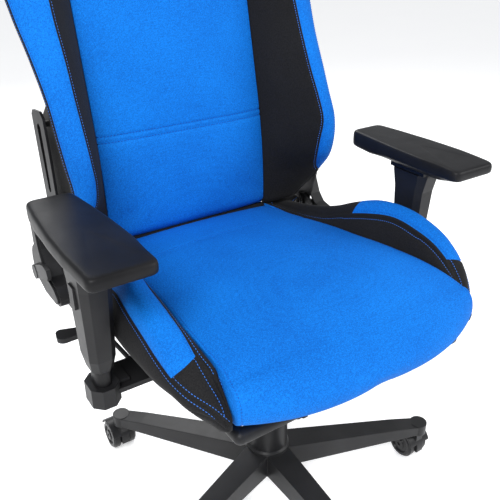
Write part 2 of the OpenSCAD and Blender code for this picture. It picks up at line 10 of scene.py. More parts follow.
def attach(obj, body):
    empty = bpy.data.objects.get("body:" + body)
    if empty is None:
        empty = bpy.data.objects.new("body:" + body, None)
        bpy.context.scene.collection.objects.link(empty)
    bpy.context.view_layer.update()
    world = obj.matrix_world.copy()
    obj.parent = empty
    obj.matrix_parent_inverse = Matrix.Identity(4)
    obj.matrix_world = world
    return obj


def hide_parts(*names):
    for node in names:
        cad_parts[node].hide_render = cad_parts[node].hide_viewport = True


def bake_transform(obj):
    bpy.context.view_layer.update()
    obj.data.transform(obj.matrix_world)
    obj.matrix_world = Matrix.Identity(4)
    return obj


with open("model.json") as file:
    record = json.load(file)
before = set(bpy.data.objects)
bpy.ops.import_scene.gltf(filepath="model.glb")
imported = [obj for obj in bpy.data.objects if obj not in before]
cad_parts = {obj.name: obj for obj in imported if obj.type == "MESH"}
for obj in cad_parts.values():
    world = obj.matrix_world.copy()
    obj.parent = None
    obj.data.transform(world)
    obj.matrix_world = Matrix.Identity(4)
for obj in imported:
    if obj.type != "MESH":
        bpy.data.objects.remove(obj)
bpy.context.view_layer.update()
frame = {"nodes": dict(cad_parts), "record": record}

MM = 0.001
SIM_FRAMES = 20
LEFT, RIGHT = 1, -1

# ---- materials ----------------------------------------------------------------


class Shader:
    """A Principled material with a few short ways to add nodes to it."""

    def __init__(self, name):
        self.material = bpy.data.materials.new(name)
        self.material.use_nodes = True
        self.tree = self.material.node_tree
        self.bsdf = self.tree.nodes["Principled BSDF"]
        self.place = self.node("ShaderNodeTexCoord").outputs["Object"]

    def node(self, kind, **settings):
        made = self.tree.nodes.new(kind)
        for key, value in settings.items():
            setattr(made, key, value)
        return made

    def link(self, output, socket):
        self.tree.links.new(output, socket)

    def set(self, **values):
        for key, value in values.items():
            self.bsdf.inputs[key.replace("_", " ")].default_value = value

    def noise(self, scale, detail=2.0, rough=0.5):
        made = self.node("ShaderNodeTexNoise")
        self.link(self.place, made.inputs["Vector"])
        made.inputs["Scale"].default_value = scale
        made.inputs["Detail"].default_value = detail
        made.inputs["Roughness"].default_value = rough
        return made.outputs["Fac"]

    def cells(self, period, stray=0.7):
        """Small rounded cells, the knots of a weave, about a period apart."""
        made = self.node("ShaderNodeTexVoronoi", distance="MINKOWSKI")
        self.link(self.place, made.inputs["Vector"])
        made.inputs["Scale"].default_value = 1 / period
        made.inputs["Exponent"].default_value = 3.0
        made.inputs["Randomness"].default_value = stray
        return made.outputs["Distance"]

    def math(self, operation, a, b):
        made = self.node("ShaderNodeMath", operation=operation)
        for socket, value in zip(made.inputs, (a, b)):
            if isinstance(value, (int, float)):
                socket.default_value = value
            else:
                self.link(value, socket)
        return made.outputs[0]

    def ramp(self, factor, low, high, at=(0.3, 0.7)):
        made = self.node("ShaderNodeValToRGB")
        self.link(factor, made.inputs["Fac"])
        for element, place, colour in zip(made.color_ramp.elements, at, (low, high)):
            element.position = place
            element.color = (*colour, 1)
        return made.outputs["Color"]

    def bump(self, height, strength, distance, edge=0.0):
        made = self.node("ShaderNodeBump")
        made.inputs["Strength"].default_value = strength
        made.inputs["Distance"].default_value = distance
        self.link(height, made.inputs["Height"])
        if edge:
            rounding = self.node("ShaderNodeBevel", samples=4)
            rounding.inputs["Radius"].default_value = edge
            self.link(rounding.outputs["Normal"], made.inputs["Normal"])
        self.link(made.outputs["Normal"], self.bsdf.inputs["Normal"])


def woven(name, dark, light, period=0.0011, sheen=0.2, rough=0.86):
    """A fine plain weave, a little uneven in colour, with soft light streaks."""
    s = Shader(name)
    knots = s.cells(period)
    flecks = s.noise(480, 3.0, 0.85)
    cloud = s.noise(6, 2.0, 0.5)
    tint = s.math("SUBTRACT", s.math("MULTIPLY", flecks, 0.7), s.math("MULTIPLY", knots, 0.25))
    tint = s.math("ADD", s.math("MULTIPLY", cloud, 0.2), s.math("ADD", tint, 0.1))
    s.link(s.ramp(tint, dark, light, (0.34, 0.56)), s.bsdf.inputs["Base Color"])
    height = s.math("SUBTRACT", s.math("MULTIPLY", flecks, 0.5), knots)
    s.bump(height, 0.4, 0.0003)
    s.set(Roughness=rough, Sheen_Weight=sheen, Sheen_Roughness=0.4, Specular_IOR_Level=0.16)
    return s.material


def moulded(name, colour, rough, grain=1400, depth=0.00012, edge=0.0012, strength=0.25,
            gloss=0.22):
    """Moulded plastic or rubber: a fine grain, soft edges, uneven gloss."""
    s = Shader(name)
    pale = tuple(min(1, c * 1.35 + 0.004) for c in colour)
    s.link(s.ramp(s.noise(14, 3.0), colour, pale, (0.35, 0.75)), s.bsdf.inputs["Base Color"])
    wear = s.node("ShaderNodeMapRange")
    s.link(s.noise(35, 3.0), wear.inputs["Value"])
    wear.inputs["To Min"].default_value = rough - 0.06
    wear.inputs["To Max"].default_value = rough + 0.08
    s.link(wear.outputs["Result"], s.bsdf.inputs["Roughness"])
    s.bump(s.noise(grain, 2.0), strength, depth, edge)
    s.set(Specular_IOR_Level=gloss)
    return s.material


def metal(name, colour, rough, streak=90, edge=0.0006):
    """Bare or plated metal with faint streaks."""
    s = Shader(name)
    streaks = s.noise(streak, 4.0, 0.7)
    worn = tuple(c * 0.8 for c in colour)
    s.link(s.ramp(streaks, worn, colour), s.bsdf.inputs["Base Color"])
    gloss = s.node("ShaderNodeMapRange")
    s.link(streaks, gloss.inputs["Value"])
    gloss.inputs["To Min"].default_value = max(rough - 0.08, 0.03)
    gloss.inputs["To Max"].default_value = rough + 0.1
    s.link(gloss.outputs["Result"], s.bsdf.inputs["Roughness"])
    s.bump(streaks, 0.06, 0.0002, edge)
    s.set(Metallic=1.0)
    return s.material


BLUE = woven("blue_weave", (0.001, 0.098, 0.44), (0.004, 0.208, 0.75), sheen=0.0)
BLACK = woven("black_weave", (0.007, 0.007, 0.008), (0.017, 0.017, 0.018), sheen=0.03)
WEBBING = woven("webbing", (0.012, 0.012, 0.012), (0.05, 0.05, 0.05), 0.0024)
BLUE_THREAD = moulded("blue_thread", (0.03, 0.17, 0.62), 0.6, edge=0.0)
DARK_THREAD = moulded("dark_blue_thread", (0.001, 0.06, 0.36), 0.6, edge=0.0)
PAD_FOAM = moulded("pad_polyurethane", (0.009, 0.009, 0.010), 0.40, 900, 0.0002, 0.0, gloss=0.12)
ARM_PLASTIC = moulded("arm_plastic", (0.012, 0.012, 0.013), 0.4)
BASE_PLASTIC = moulded("base_plastic", (0.016, 0.016, 0.017), 0.36, edge=0.003)
WHEEL_PLASTIC = moulded("wheel_plastic", (0.012, 0.012, 0.013), 0.3)
BLACK_STEEL = moulded("powder_coat", (0.010, 0.010, 0.011), 0.45, 800, edge=0.0008)
BRIGHT_STEEL = metal("plated_steel", (0.62, 0.62, 0.63), 0.32)
DULL_STEEL = metal("blackened_steel", (0.035, 0.035, 0.037), 0.45)
CHROME = metal("chromed_steel", (0.8, 0.8, 0.82), 0.1)

SLOT_MATERIALS = {
    "base_plastic": BASE_PLASTIC, "caster_plastic": BASE_PLASTIC, "wheel_plastic": WHEEL_PLASTIC,
    "black_steel": BLACK_STEEL, "bright_steel": BRIGHT_STEEL, "chrome_steel": CHROME,
    "arm_plastic": ARM_PLASTIC, "arm_foam": PAD_FOAM, "webbing": WEBBING,
    "blue_fabric": BLUE, "black_fabric": BLACK,
}


def dress_cad_nodes():
    """Gives each CAD node that stays its finished material."""
    for part in frame["record"]["subparts"]:
        node = frame["nodes"][part["node"]]
        node.data.materials.clear()
        blackened = part["node"] in ("recliner_plates", "recliner_springs", "back_brackets")
        finish = DULL_STEEL if blackened else SLOT_MATERIALS[part["material_slot"]]
        node.data.materials.append(finish)


# ---- shapes -------------------------------------------------------------------


def add_piece(name, verts, faces, material):
    """A smooth-shaded mesh object with one material, in the scene."""
    mesh = bpy.data.meshes.new(name)
    mesh.from_pydata([tuple(v) for v in verts], [], faces)
    mesh.materials.append(material)
    mesh.shade_smooth()
    piece = bpy.data.objects.new(name, mesh)
    bpy.context.scene.collection.objects.link(piece)
    return piece


def smooth_rows(rows, at):
    """Rows of (place, values...) read at many places along a smooth curve through them."""
    table = np.array(sorted(rows), float)
    t, v = table[:, 0], table[:, 1:]
    slopes = np.gradient(v, t, axis=0)
    k = np.clip(np.searchsorted(t, at) - 1, 0, len(t) - 2)
    h = (t[k + 1] - t[k])[:, None]
    u = ((np.asarray(at) - t[k])[:, None] / h).clip(0, 1)
    return ((2 * u**3 - 3 * u**2 + 1) * v[k] + (u**3 - 2 * u**2 + u) * h * slopes[k]
            + (3 * u**2 - 2 * u**3) * v[k + 1] + (u**3 - u**2) * h * slopes[k + 1])


def outline(corners, bulges, counts):
    """A closed outline of bulging panels from corner to corner, with a point close to each."""
    corners = np.array(corners, float)
    after = np.roll(corners, -1, axis=0)
    area = np.sum(corners[:, 0] * after[:, 1] - corners[:, 1] * after[:, 0])
    rows = []
    for a, b, bulge, count in zip(corners, after, bulges, counts):
        length = max(np.linalg.norm(b - a), 1e-6)
        near = min(0.3, 2.5 / length)
        u = np.concatenate([[0.0], np.linspace(near, 1 - near, count - 1)])
        out = np.array([a[1] - b[1], b[0] - a[0]]) / length * -np.sign(area)
        rows.append(a + np.outer(u, b - a) + np.outer(4 * u * (1 - u) * bulge, out))
    return np.concatenate(rows)


def heights(first, last, step, marks=()):
    """Places at a regular step, with three close together at each mark."""
    plain = [z for z in np.arange(first, last, step) if all(abs(z - m) > step / 2 for m in marks)]
    return np.array(sorted(plain + [last] + [m + d for m in marks for d in (-2.5, 0, 2.5)]))


class Soft:
    """A closed stuffed form: rings of points along a path, with both ends closed."""

    def __init__(self, name, rings, cap_bulge=(0.0, 0.0), cap_steps=5):
        self.name = name
        self.rings = np.array(rings)
        self.m, self.n = self.rings.shape[:2]
        verts = [self.rings.reshape(-1, 3)]
        faces = [(i * self.n + j, i * self.n + (j + 1) % self.n,
                  (i + 1) * self.n + (j + 1) % self.n, (i + 1) * self.n + j)
                 for i in range(self.m - 1) for j in range(self.n)]
        self.side_faces = len(faces)
        count = self.m * self.n
        for end, bulge in zip((0, self.m - 1), cap_bulge):
            ring = self.rings[end]
            middle = ring.mean(axis=0)
            axis = middle - self.rings[1 if end == 0 else end - 1].mean(axis=0)
            axis /= np.linalg.norm(axis)
            last = [end * self.n + j for j in range(self.n)]
            for step in range(1, cap_steps + 1):
                f = 1 - step / (cap_steps + 1)
                layer = middle + (ring - middle) * f + axis * bulge * (1 - f**2)
                verts.append(layer)
                now = list(range(count, count + self.n))
                count += self.n
                for j in range(self.n):
                    k = (j + 1) % self.n
                    quad = (last[j], last[k], now[k], now[j])
                    faces.append(quad[::-1] if end == 0 else quad)
                last = now
            verts.append((middle + axis * bulge)[None])
            for j in range(self.n):
                k = (j + 1) % self.n
                tri = (last[j], last[k], count)
                faces.append(tri[::-1] if end == 0 else tri)
            count += 1
        self.mesh = bpy.data.meshes.new(name)
        self.mesh.from_pydata(np.concatenate(verts).tolist(), [], faces)
        self.mesh.update()
        if signed_volume(self.mesh) < 0:
            self.mesh.flip_normals()
        self.mesh.shade_smooth()
        self.object = bpy.data.objects.new(name, self.mesh)
        bpy.context.scene.collection.objects.link(self.object)

    def paint(self, materials, choose):
        """Gives each side face the material whose number choose(ring, point) returns."""
        for material in materials:
            self.mesh.materials.append(material)
        index = [choose(i, j) for i in range(self.m - 1) for j in range(self.n)]
        caps = len(self.mesh.polygons) - self.side_faces
        first = [choose(0, 0)] * (caps // 2) + [choose(self.m - 2, 0)] * (caps - caps // 2)
        self.mesh.polygons.foreach_set("material_index", index + first)

    def points(self):
        found = np.empty(len(self.mesh.vertices) * 3)
        self.mesh.vertices.foreach_get("co", found)
        return found.reshape(-1, 3)

    def normals(self):
        return np.array([v.normal[:] for v in self.mesh.vertices])

    def place(self, points):
        self.mesh.vertices.foreach_set("co", points.reshape(-1))
        self.mesh.update()

    def sink(self, weights, depth):
        """Pulls points in along their normals: weights has one number for each ring point."""
        amount = np.zeros(len(self.mesh.vertices))
        amount[:self.m * self.n] = weights.reshape(-1)
        self.place(self.points() - self.normals() * (amount * depth)[:, None])

    def laid(self, picks, lift, side):
        """Points and normals on the finished surface, side metres across from a run of points."""
        co, no = self.points(), self.normals()
        path, normal = co[picks], no[picks]
        along = np.gradient(path, axis=0)
        along /= np.linalg.norm(along, axis=1)[:, None]
        path = path + np.cross(normal, along) * side
        tree = BVHTree.FromPolygons(co.tolist(), [tuple(f.vertices) for f in self.mesh.polygons])
        found = [tree.find_nearest(Vector(p)) for p in path]
        normal = np.array([hit[1][:] for hit in found])
        return np.array([hit[0][:] for hit in found]) + normal * lift, normal

    def line(self, j, rings=None, lift=0.0002, side=0.0):
        """A run along ring point j, shifted side metres across it."""
        rings = range(self.m) if rings is None else rings
        return self.laid([i * self.n + j % self.n for i in rings], lift, side)

    def cross_line(self, i, first, last, lift=0.0002, side=0.0):
        """The same across the piece, along ring i from point first to point last."""
        return self.laid([i * self.n + j % self.n for j in range(first, last + 1)], lift, side)

    def puff(self, pressure, cap, held):
        """Cloth with pressure, held at the seams, with the movement capped."""
        group = self.object.vertex_groups.new(name="held")
        group.add([int(v) for v in held], 1.0, "REPLACE")
        cloth = self.object.modifiers.new("cloth", "CLOTH")
        cloth.settings.vertex_group_mass = "held"
        cloth.settings.use_pressure = True
        cloth.settings.uniform_pressure_force = pressure
        cloth.settings.quality = 5
        cloth.settings.mass = 0.25
        cloth.settings.tension_stiffness = 12
        cloth.settings.compression_stiffness = 12
        cloth.settings.shear_stiffness = 6
        cloth.settings.bending_stiffness = 0.4
        cloth.settings.effector_weights.gravity = 0
        cloth.point_cache.frame_start = 1
        cloth.point_cache.frame_end = SIM_FRAMES
        scene = bpy.context.scene
        for step in range(1, SIM_FRAMES + 1):
            scene.frame_set(step)
        shown = self.object.evaluated_get(bpy.context.evaluated_depsgraph_get())
        moved = np.array([v.co[:] for v in shown.data.vertices])
        start = self.points()
        shift = moved - start
        far = np.linalg.norm(shift, axis=1)
        shift *= np.minimum(1, cap / np.maximum(far, 1e-9))[:, None]
        self.object.modifiers.remove(cloth)
        self.object.vertex_groups.remove(group)
        scene.frame_set(1)
        self.place(start + shift)


def signed_volume(mesh):
    """Below zero where the faces point inwards."""
    mesh.calc_loop_triangles()
    co = np.array([v.co[:] for v in mesh.vertices])
    tri = np.array([t.vertices[:] for t in mesh.loop_triangles])
    a, b, c = co[tri[:, 0]], co[tri[:, 1]], co[tri[:, 2]]
    return float(np.einsum("ij,ij->i", a, np.cross(b, c)).sum() / 6)


def sided(rings, side):
    """The rings for the sitter's left, or their mirror image for the right."""
    return np.array(rings) * np.array([side, 1, 1])


def stitches(name, runs, material, body, length=0.0026, pitch=0.0044, radius=0.00055):
    """Rows of short thread dashes along runs of (points, normals)."""
    verts, faces = [], []
    sides = 6
    profile = [(-0.5, 0.35), (-0.3, 0.9), (0.3, 0.9), (0.5, 0.35)]
    for path, normal in runs:
        steps = np.linalg.norm(np.diff(path, axis=0), axis=1)
        reach = np.concatenate([[0], np.cumsum(steps)])
        for at in np.arange(pitch / 2, reach[-1] - pitch / 2, pitch):
            here, out = ([np.interp(at, reach, v[:, k]) for k in range(3)] for v in (path, normal))
            ahead = [np.interp(at + 0.001, reach, path[:, k]) for k in range(3)]
            here, out = np.array(here), np.array(out)
            along = np.array(ahead) - here
            along /= max(np.linalg.norm(along), 1e-9)
            across = np.cross(along, out)
            across /= max(np.linalg.norm(across), 1e-9)
            out = np.cross(across, along)
            base = len(verts)
            for along_at, wide in profile:
                for k in range(sides):
                    angle = 2 * math.pi * k / sides
                    verts.append(here + along * along_at * length
                                 + (across * math.cos(angle) + out * math.sin(angle) * 0.7)
                                 * radius * wide)
            for row in range(len(profile) - 1):
                for k in range(sides):
                    a, b = base + row * sides + k, base + row * sides + (k + 1) % sides
                    faces.append((a, b, b + sides, a + sides))
            faces.append(tuple(base + k for k in reversed(range(sides))))
            faces.append(tuple(base + (len(profile) - 1) * sides + k for k in range(sides)))
    piece = add_piece(name, verts, faces, material)
    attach(piece, body)


def finish_soft(soft, node, body):
    """Puts a stuffed form on its body, in the place of its CAD node."""
    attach(soft.object, body)
    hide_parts(node)


# ---- seat ---------------------------------------------------------------------

SEAT_FLOOR = 426 * MM
# Place along Y, half width, height of the edge seam, crown in the middle
SEAT_ROWS = [(-232, 218, 494, 10), (-190, 213, 506, 13), (-140, 211, 510, 15), (-90, 208, 509, 16),
             (-40, 202, 507, 17), (10, 196, 503, 17), (60, 192, 499, 17), (100, 188, 494.5, 17),
             (140, 184, 489, 17), (180, 180, 484, 15), (223, 175, 480, 11), (262, 171, 474, 5)]
SEAM_Y = 147 * MM
# Points of a ring along the top, the nose, the tuck below it, the bottom and the back
TOP, NOSE, TUCK, BOTTOM, BACK = 78, 18, 7, 12, 4
TUCKED = TOP + NOSE + TUCK
TOP_PLACES = np.linspace(262, -214, TOP) * MM
# Place along Y and height of the lip that meets the backrest, coloured black as painted shade for
# the dark gap under it
REAR_LIP = ((270, 471.5), (279, 472), (281.5, 474.5), (279.5, 477), (274, 479.3), (267, 480.3))


def seat_ring(s):
    """The outline of the seat cushion, front to back, at s from -1 to 1 across it."""
    crown = max(0.0, 1 - abs(s) ** 2.4) ** 0.9
    half, edge, rise = (smooth_rows(SEAT_ROWS, TOP_PLACES / MM) * MM).T
    top = np.stack([s * half, TOP_PLACES, edge + rise * crown], axis=1)
    front = (-236 - 47 * (1 - abs(s) ** 2.8)) * MM
    tip = 466 * MM
    under = 438 * MM
    nose = []
    last = top[-1]
    for k in range(1, NOSE + 1):
        a = math.pi / 2 * k / NOSE
        y = last[1] + (front - last[1]) * math.sin(a) ** 0.92
        z = tip + (last[2] - tip) * math.cos(a) ** 0.92
        nose.append((s * 217 * MM, y, z))
    for k in range(1, TUCK + 1):
        a = math.pi / 2 * k / TUCK
        nose.append((s * (217 - 6 * k / TUCK) * MM, front + 26 * MM * (1 - math.cos(a)),
                     tip - (tip - under) * math.sin(a)))
    y0 = nose[-1][1]
    bottom = [(s * (211 - 33 * k / BOTTOM) * MM, y0 + (262 * MM - y0) * k / BOTTOM,
               under + (SEAT_FLOOR - under) * min(1, k / 2)) for k in range(1, BOTTOM + 1)]
    back = [(s * 172 * MM, 261 * MM, SEAT_FLOOR + (471.5 * MM - SEAT_FLOOR) * k / BACK)
            for k in range(1, BACK + 1)]
    lip = [(s * 170 * MM, y * MM, z * MM) for y, z in REAR_LIP]
    return np.concatenate([top, nose, bottom, back, lip])


def make_seat():
    """The seat cushion: blue, with a sewn line across it; its rear end and the lip there are black
    as painted shade for the dark gap under the backrest.
    """
    across = np.sin(np.linspace(-1, 1, 61) * math.pi / 2 * 0.92)
    across /= across[-1]
    seat = Soft("seat_cushion_soft", [seat_ring(s) for s in across], (1 * MM, 1 * MM))
    # Painted shade: the rear end and the lip get the black weave to stand in for the dark gap under
    # the backrest
    seat.paint([BLUE, BLACK], lambda i, j: 1 if j > TUCKED + BOTTOM else 0)
    seam = int(np.argmin(abs(TOP_PLACES - SEAM_Y)))
    groove = np.zeros((seat.m, seat.n))
    groove[:, seam] = 1.0
    groove[0, :TUCKED] = groove[-1, :TUCKED] = 1.0
    held = [i * seat.n + seam for i in range(seat.m)]
    held += [i * seat.n + j for i in (0, seat.m - 1) for j in range(seat.n)]
    held += [i * seat.n + j for i in range(seat.m) for j in range(TUCKED + 1, seat.n)]
    seat.puff(1.2, 5 * MM, held)
    seat.sink(groove, 1.2 * MM)
    finish_soft(seat, "seat_cushion", "seat")
    runs = [seat.line(seam, side=4 * MM)]
    runs += [seat.cross_line(i, 0, TUCKED - 1, side=k)
             for i, k in ((1, 4 * MM), (seat.m - 2, -4 * MM))]
    stitches("seat_cushion_stitches", runs, DARK_THREAD, "seat",
             length=0.003, pitch=0.005, radius=0.0005)


# Place along Y, inner seam (X, Z), outer seam (X, Z), roll of the blue patch, lower edge (X, Z)
BOLSTER_ROWS = [
    (258, 198, 474, 234, 472, 4, 240, 456), (180, 200, 485, 242, 484, 9, 254, 464),
    (100, 203, 507, 251, 505, 14, 266, 472), (60, 206, 524, 257, 520, 18, 272, 476),
    (10, 217, 540, 264, 536, 21, 279, 480), (-40, 227, 550, 269, 531, 22, 282, 482),
    (-90, 230, 546, 271, 522, 22, 281, 482), (-140, 231, 533, 271, 509, 17, 276, 478),
    (-165, 231, 519, 268, 500, 12, 270, 476), (-190, 228, 499, 257, 486, 8, 260, 466),
    (-215, 222, 473, 236, 467, 3, 237, 457), (-228, 222, 457, 226, 453, 1, 227, 447)]
PATCH_REAR, PATCH_FRONT = 42, -163
# Points of a ring along the patch, the side, below it, the foot, the floor, the root, the band
BOLSTER_COUNTS = (14, 7, 8, 2, 2, 8, 3)
PATCH_END, SIDE_END, _, _, FLOOR_END, BAND_START, RING_END = np.cumsum(BOLSTER_COUNTS).tolist()
# Behind this place the bolster becomes a thin flap with a round crest
FLAP_Y, CREST_Y, CREST_Z, CREST_R = 259, 268, 463, 17


def bolster_ring(y, row):
    """One ring of the left seat bolster, inner seam first, with a narrow band below it."""
    inner, outer, roll, low = row[0:2], row[2:4], row[4], row[5:7]
    half, edge = smooth_rows(SEAT_ROWS, [max(y / MM, -232)])[0][:2]
    root = np.array([half + 1.5, min(edge - 3, inner[1] - 2)])
    rise = 0.35 * max(0, -195 - y / MM)
    foot = np.array([min(half + 14, low[0] - 4), 428 + rise])
    floor = np.array([half + 1.5, 430 + rise])
    if y > FLAP_Y * MM:
        crest = CREST_Z + math.sqrt(CREST_R**2 - (y / MM - CREST_Y) ** 2)
        inner, outer, low = np.array([[198, crest], [252, crest - 1.5], [254, 472.6]])
        root[1], foot[1], floor[1], roll = crest - 1, 471.6, 471.6, 0.5
    slope = root - inner
    band = inner + slope * min(0.5, 8 / np.linalg.norm(slope))
    flat = outline([inner, outer, low, foot, floor, root, band], (roll, 3, 2, 0, 0, 2.5, 0.5),
                   BOLSTER_COUNTS)
    return np.stack([flat[:, 0], np.full(len(flat), y / MM), flat[:, 1]], axis=1) * MM


def make_seat_bolster(side):
    """A seat bolster: a blue patch on black panels, sewn along its seams."""
    name = "seat_bolster_left" if side == LEFT else "seat_bolster_right"
    marks = (PATCH_REAR, PATCH_FRONT)
    places = np.concatenate([(280, 270, 261), heights(-228, 258, 6, marks)[::-1]])
    crest, lean = np.zeros(RING_END), np.zeros(RING_END)
    u = np.linspace(0, 1, PATCH_END + 1)
    crest[:PATCH_END + 1] = 4 * u * u[::-1]
    lean[:SIDE_END + 1] = np.interp(np.arange(SIDE_END + 1), (0, PATCH_END, SIDE_END), (0, 1, 0))
    rings = []
    for y in places:
        ahead = crest * 8 * math.exp(-(((y - marks[1]) / 24) ** 2))
        ahead -= lean * 10 * math.exp(-(((y - marks[0]) / 24) ** 2))
        ring = [bolster_ring((y - d) * MM, smooth_rows(BOLSTER_ROWS, [y - d])[0])[j]
                for j, d in enumerate(ahead)]
        rings.append(ring)
    rings = sided(rings, side)
    soft = Soft(name + "_soft", rings, (2 * MM, 4 * MM))
    rear, front = (int(np.argmin(abs(places - mark))) for mark in marks)
    soft.paint([BLACK, BLUE], lambda i, j: 1 if rear <= i < front and j < PATCH_END else 0)
    groove = np.zeros((soft.m, soft.n))
    groove[:, (0, PATCH_END, SIDE_END, BAND_START)] = 1.0
    groove[(rear, front), :PATCH_END + 1] = 1.0
    held = list(np.flatnonzero(groove.reshape(-1)))
    held += [i * soft.n + j for i in range(soft.m) for j in range(SIDE_END, FLOOR_END)]
    held += [i * soft.n + j for i in (0, soft.m - 1) for j in range(soft.n)]
    soft.puff(1.2, 4 * MM, held)
    soft.sink(groove, 1.6 * MM)
    finish_soft(soft, name, "seat")
    ahead = range(front, soft.m)
    runs = [soft.line(BAND_START, side=-3.5 * MM * side),
            soft.line(PATCH_END, side=4.5 * MM * side),
            soft.line(0, ahead, side=4.5 * MM * side),
            soft.line(PATCH_END, ahead, side=-4.5 * MM * side)]
    stitches(name + "_stitches", runs, BLUE_THREAD, "seat")
    inside = [soft.line(0, range(rear, front), side=4 * MM * side),
              soft.line(PATCH_END, range(rear, front), side=-4 * MM * side)]
    stitches(name + "_seam", inside, DARK_THREAD, "seat", radius=0.00045)


# ---- backrest -----------------------------------------------------------------

LUMBAR_R, LUMBAR_Y, LUMBAR_Z = 925 * MM, 260 * MM, 500 * MM
RAKE = math.radians(12.5)
NECK_Z = 1010 * MM


def back_y(z):
    """Y of the centre panel's front face at a height."""
    bend = LUMBAR_Z + LUMBAR_R * math.sin(RAKE)
    low = min(max(z, LUMBAR_Z), bend) - LUMBAR_Z
    y = LUMBAR_Y + LUMBAR_R - math.sqrt(LUMBAR_R**2 - low**2)
    y += (min(max(z, bend), NECK_Z) - bend) * math.tan(RAKE)
    return y + max(z - NECK_Z, 0) * 0.1


BACK_BOTTOM, BACK_TOP = 482, 1290
BACK_FOAM, HEAD_FOAM = 24, 56
SLOT = [(44, 1036), (98, 1044), (88, 1084), (40, 1076)]
SEAMS_Z = (664, 675)
BACK_COUNTS = (49, 6, 20, 6)


def back_half(z):
    """Half width of the centre panel and headrest at height z, both in millimetres."""
    if z < BACK_BOTTOM + 5:
        return 163 + math.sqrt(max(0, 5**2 - (BACK_BOTTOM + 5 - z) ** 2))
    if z > 1234:
        return 87 + math.sqrt(max(0, 66**2 - (min(z, BACK_TOP - 1) - 1224) ** 2))
    return float(np.interp(z, (1040, 1080, 1120, 1190, 1234), (168, 158, 150, 157, 152)))


def back_ring(z):
    """The outline of the centre panel, or of the headrest, at a height in millimetres."""
    half, face = back_half(z), back_y(z * MM) / MM
    head = min(max((z - 1000) / 60, 0), 1)
    depth = BACK_FOAM if z < NECK_Z / MM else HEAD_FOAM
    end = min(1, (z - BACK_BOTTOM) / 16, (BACK_TOP - z) / 40)
    end = math.sqrt(max(0, 1 - (1 - end) ** 2))
    s = np.sin(np.linspace(-1, 1, BACK_COUNTS[0]) * math.pi / 2)
    crown = (1 - abs(s) ** 4) * (4 + 9 * head) * end + (1 - end) * -8
    flat = [np.stack([s * half, face + 4 * abs(s) ** 8 - crown], axis=1)]
    flat.append(outline([(half, face + 4), (half, face + depth), (-half, face + depth),
                         (-half, face + 4)], (0, 0, 0, 0), (*BACK_COUNTS[1:], 2))[1:-2])
    flat = np.concatenate(flat)
    return np.stack([flat[:, 0], flat[:, 1], np.full(len(flat), z)], axis=1) * MM


def cut(piece, shape, low, high, axis):
    """Cuts a straight opening with the given outline through a piece, along Y or Z."""
    n = len(shape)
    verts = [(x, end, w) if axis == "Y" else (x, w, end) for end in (low, high) for x, w in shape]
    sides = [(k, (k + 1) % n, n + (k + 1) % n, n + k) for k in range(n)]
    mesh = bpy.data.meshes.new("cutter")
    mesh.from_pydata([tuple(c * MM for c in v) for v in verts], [],
                     [tuple(reversed(range(n))), tuple(range(n, 2 * n)), *sides])
    if signed_volume(mesh) < 0:
        mesh.flip_normals()
    cutter = bpy.data.objects.new("cutter", mesh)
    bpy.context.scene.collection.objects.link(cutter)
    boolean = piece.modifiers.new("cut", "BOOLEAN")
    boolean.operation, boolean.solver, boolean.object = "DIFFERENCE", "EXACT", cutter
    shown = piece.evaluated_get(bpy.context.evaluated_depsgraph_get())
    made = bpy.data.meshes.new_from_object(shown)
    piece.modifiers.remove(boolean)
    piece.data = made
    bpy.data.objects.remove(cutter)


def slot_outline(side, grow):
    """A harness slot's outline with rounded corners, made larger by grow."""
    points = np.array(SLOT, float)
    before, after = np.roll(points, 1, axis=0), np.roll(points, -1, axis=0)
    shape = []
    for p, b, a in zip(points, before, after):
        to_b, to_a = (b - p) / np.linalg.norm(b - p), (a - p) / np.linalg.norm(a - p)
        out = -(to_a + to_b) / np.linalg.norm(to_a + to_b)
        for u in np.linspace(0, 1, 6):
            curve = p + to_b * 9 * (1 - u) ** 2 + to_a * 9 * u**2
            shape.append((side * (curve[0] + out[0] * grow), curve[1] + out[1] * grow))
    return shape


def make_slot_trim(side):
    """The moulded rim of a harness slot, from the front of the headrest through to its back."""
    stages = [(8.5, 2), (8, -2.5), (5, -5.5), (2, -5.5), (0, -3), (0, 58), (5, 62), (8, 60)]
    verts, faces = [], []
    for grow, depth in stages:
        for x, z in slot_outline(side, grow):
            crown = 13 * (1 - (x / back_half(z)) ** 4) if depth < 10 else -5
            verts.append((x * MM, back_y(z * MM) + (depth - crown) * MM, z * MM))
    n = len(verts) // len(stages)
    for row in range(len(stages) - 1):
        for k in range(n):
            a, b = row * n + k, row * n + (k + 1) % n
            faces.append((a, b, b + n, a + n))
    name = "slot_trim_left" if side == LEFT else "slot_trim_right"
    trim = add_piece(name, verts, faces, ARM_PLASTIC)
    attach(trim, "back")


